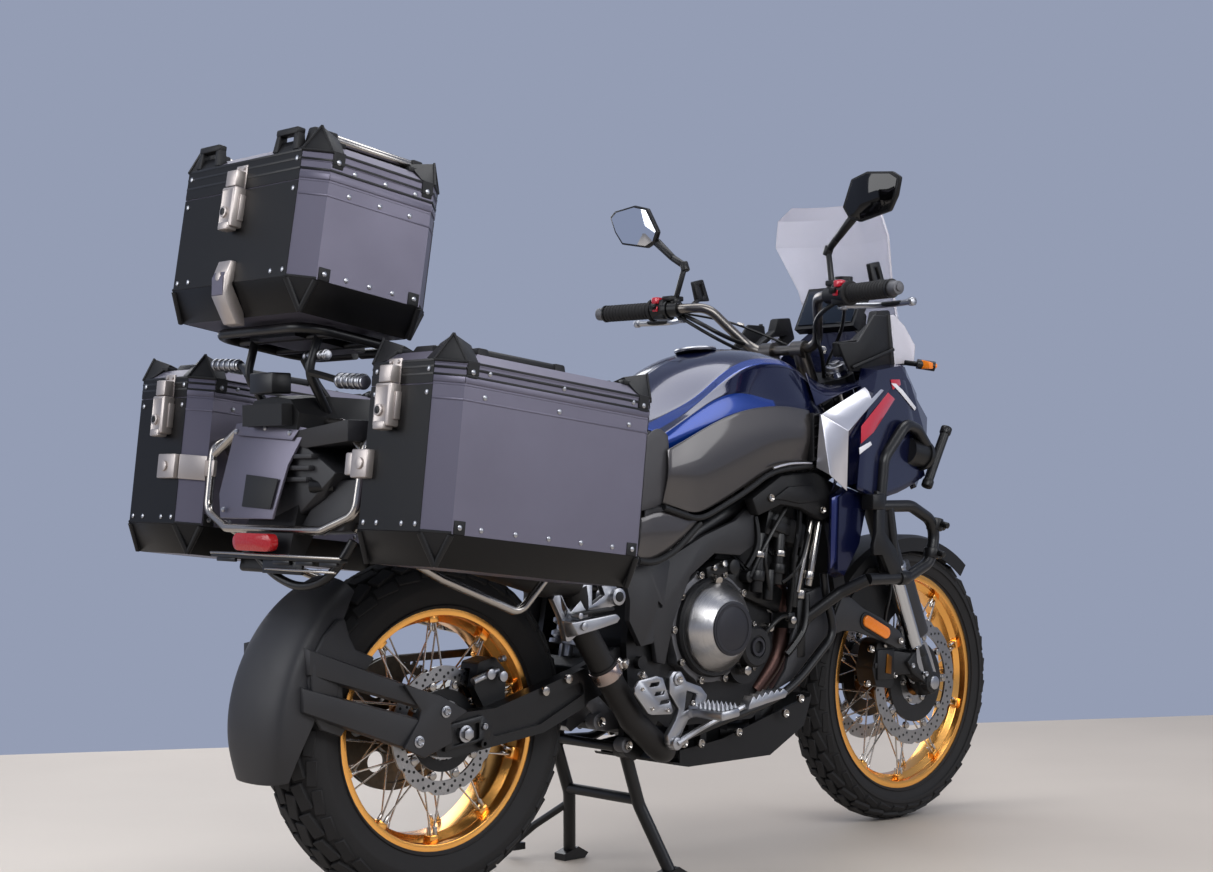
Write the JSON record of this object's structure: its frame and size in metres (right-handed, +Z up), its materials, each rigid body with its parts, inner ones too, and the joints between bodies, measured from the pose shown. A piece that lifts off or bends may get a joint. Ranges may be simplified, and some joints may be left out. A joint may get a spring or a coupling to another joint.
{
  "type": "adventure motorcycle with cases",
  "caption": "Adventure motorcycle on its centre stand, with spoked wheels, a tall screen, crash bars, side cases and a top case on racks.",
  "frame": {"origin": "on the floor under the middle of the machine, half way between its rear and front extents", "axes": "+X forward, +Y to the machine's left, +Z up"},
  "size_m": [2.1821, 0.98, 1.44],
  "materials": {
    "black_frame": "satin",
    "engine_black": "satin",
    "engine_grey": "satin",
    "exhaust_black": "matte",
    "navy_paint": "gloss",
    "gunmetal_paint": "gloss",
    "silver_paint": "satin",
    "black_plastic": "matte",
    "clear_screen": "gloss",
    "lamp_lens": "gloss",
    "seat_cover": "matte",
    "rack_steel": "satin",
    "alloy": "satin",
    "case_anodised": "satin",
    "tyre_rubber": "matte",
    "rim_gold": "satin",
    "hub_bronze": "satin",
    "disc_steel": "satin",
    "handlebar_grey": "satin",
    "control_black": "matte",
    "chain_steel": "satin"
  },
  "bodies": {
    "chassis": {"main_frame": "black_frame", "rear_subframe": "black_frame", "engine_cases": "engine_black", "engine_cylinders": "engine_black", "engine_covers": "engine_grey", "radiator": "engine_black", "exhaust_pipes": "exhaust_black", "silencer": "exhaust_black", "fuel_tank": "navy_paint", "tank_side_panels": "gunmetal_paint", "radiator_shrouds": "silver_paint", "front_fairing": "navy_paint", "headlamp": "lamp_lens", "windscreen": "clear_screen", "instrument_panel": "black_plastic", "rider_seat": "seat_cover", "passenger_seat": "seat_cover", "tail_unit": "black_plastic", "signal_lamps": "lamp_lens", "skid_plate": "black_plastic", "crash_bars": "black_frame", "auxiliary_lamps": "control_black", "luggage_rack": "rack_steel", "topcase_rack": "black_frame", "swingarm": "black_frame", "rear_shock": "alloy", "rear_hugger": "black_plastic", "rear_caliper": "control_black", "drive_chain": "chain_steel", "footrest_hangers": "alloy", "topcase_body": "case_anodised", "pannier_left_body": "case_anodised", "pannier_right_body": "case_anodised"},
    "steering": {"fork_legs": "rack_steel", "triple_clamps": "engine_black", "front_fender": "black_plastic", "front_calipers": "control_black", "handlebar": "handlebar_grey", "hand_controls": "control_black", "mirrors": "control_black"},
    "front_wheel": {"front_tyre": "tyre_rubber", "front_rim": "rim_gold", "front_hub": "hub_bronze", "front_discs": "disc_steel"},
    "rear_wheel": {"rear_tyre": "tyre_rubber", "rear_rim": "rim_gold", "rear_hub": "hub_bronze", "rear_disc": "disc_steel", "rear_sprocket": "chain_steel"},
    "centre_stand": {"centre_stand": "black_frame"},
    "side_stand": {"side_stand": "black_frame"},
    "topcase_lid": {"topcase_lid": "case_anodised"},
    "pannier_left_lid": {"pannier_left_lid": "case_anodised"},
    "pannier_right_lid": {"pannier_right_lid": "case_anodised"}
  },
  "joints": [
    {"name": "steering_turn", "type": "hinge", "parent": "chassis", "child": "steering", "pos_m": [0.46405, 0, 0.92227], "axis": [-0.4067, 0, 0.9135], "range_deg": [-35, 35]},
    {"name": "front_wheel_spin", "type": "hinge", "parent": "steering", "child": "front_wheel", "pos_m": [0.7665, 0, 0.329], "axis": [0, 1, 0], "continuous": true},
    {"name": "rear_wheel_spin", "type": "hinge", "parent": "chassis", "child": "rear_wheel", "pos_m": [-0.6435, 0, 0.338], "axis": [0, 1, 0], "continuous": true},
    {"name": "centre_stand_swing", "type": "hinge", "parent": "chassis", "child": "centre_stand", "pos_m": [-0.2135, 0, 0.268], "axis": [0, 1, 0], "range_deg": [0, 75]},
    {"name": "side_stand_swing", "type": "hinge", "parent": "chassis", "child": "side_stand", "pos_m": [0.0065, 0.16, 0.272], "axis": [0, 1, 0], "range_deg": [-100, 0]},
    {"name": "topcase_lid_hinge", "type": "hinge", "parent": "chassis", "child": "topcase_lid", "pos_m": [-0.74574, 0, 1.26083], "axis": [0, 1, 0], "range_deg": [0, 90]},
    {"name": "pannier_left_lid_hinge", "type": "hinge", "parent": "chassis", "child": "pannier_left_lid", "pos_m": [-0.4826, 0.3725, 0.90254], "axis": [0, 1, 0], "range_deg": [0, 90]},
    {"name": "pannier_right_lid_hinge", "type": "hinge", "parent": "chassis", "child": "pannier_right_lid", "pos_m": [-0.4826, -0.3725, 0.90254], "axis": [0, 1, 0], "range_deg": [0, 90]}
  ]
}
